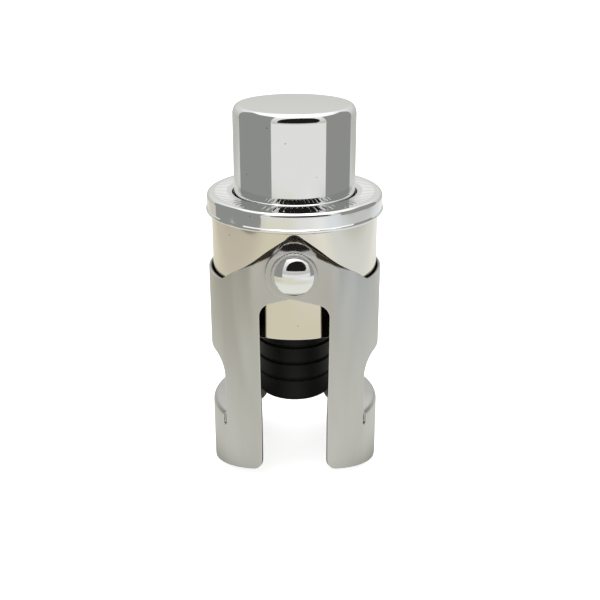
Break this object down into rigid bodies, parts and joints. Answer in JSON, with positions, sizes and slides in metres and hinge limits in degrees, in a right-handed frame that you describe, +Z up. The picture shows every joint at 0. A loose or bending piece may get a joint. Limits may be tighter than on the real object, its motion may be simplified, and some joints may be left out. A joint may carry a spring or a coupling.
{
  "type": "champagne stopper",
  "caption": "Chromed stopper for a sparkling-wine bottle: ribbed rubber plug, push cap on a pump, and two swinging steel arms that hook under the bottle's collar.",
  "frame": {"origin": "on the stopper's axis, level with the tips of the arms that it stands on", "axes": "+Z up along the stopper's axis towards the cap; -Y is the front, where one of the two rivets is; +X is to the right seen from the front"},
  "size_m": [0.0394, 0.0472, 0.0845],
  "materials": {
    "chrome": "polished bright chrome plate",
    "brushed_steel": "satin stainless steel sheet with a faint grain",
    "rubber": "matt black food-grade rubber",
    "moulded": "satin off-white moulded plastic",
    "spring_steel": "bright drawn stainless wire and turned steel"
  },
  "bodies": {
    "head": {"body_shell": "chrome", "flange_ring": "chrome", "base_plate": "moulded", "base_snap_ring": "spring_steel", "mouth_gasket": "rubber", "rubber_plug": "rubber", "plug_core": "moulded", "valve_seat": "rubber", "check_spring": "spring_steel", "pump_barrel": "moulded", "barrel_guide": "moulded", "return_spring": "spring_steel", "front_rivet": "chrome", "front_washer": "brushed_steel", "front_tail_washer": "spring_steel", "back_rivet": "chrome", "back_washer": "brushed_steel", "back_tail_washer": "spring_steel"},
    "push_cap": {"pump_cap": "chrome", "cap_insert": "moulded", "piston_rod": "spring_steel", "piston": "moulded", "piston_seal": "rubber"},
    "left_arm": {"left_arm": "brushed_steel"},
    "right_arm": {"right_arm": "brushed_steel"},
    "check_ball": {"check_ball": "spring_steel"}
  },
  "joints": [
    {"name": "cap_push", "type": "slide", "parent": "head", "child": "push_cap", "axis": [0, 0, -1], "range_m": [0, 0.014], "stiffness_N_per_m": 250, "springref_m": -0.008, "deforming": ["return_spring"]},
    {"name": "left_arm_swing", "type": "hinge", "parent": "head", "child": "left_arm", "pos_m": [0, 0, 0.05275], "axis": [0, 1, 0], "range_deg": [0, 22]},
    {"name": "right_arm_swing", "type": "hinge", "parent": "head", "child": "right_arm", "pos_m": [0, 0, 0.05275], "axis": [0, -1, 0], "range_deg": [0, 22]},
    {"name": "check_ball_lift", "type": "slide", "parent": "head", "child": "check_ball", "axis": [0, 0, -1], "range_m": [0, 0.001], "stiffness_N_per_m": 5, "springref_m": -0.0006, "deforming": ["check_spring"]}
  ]
}
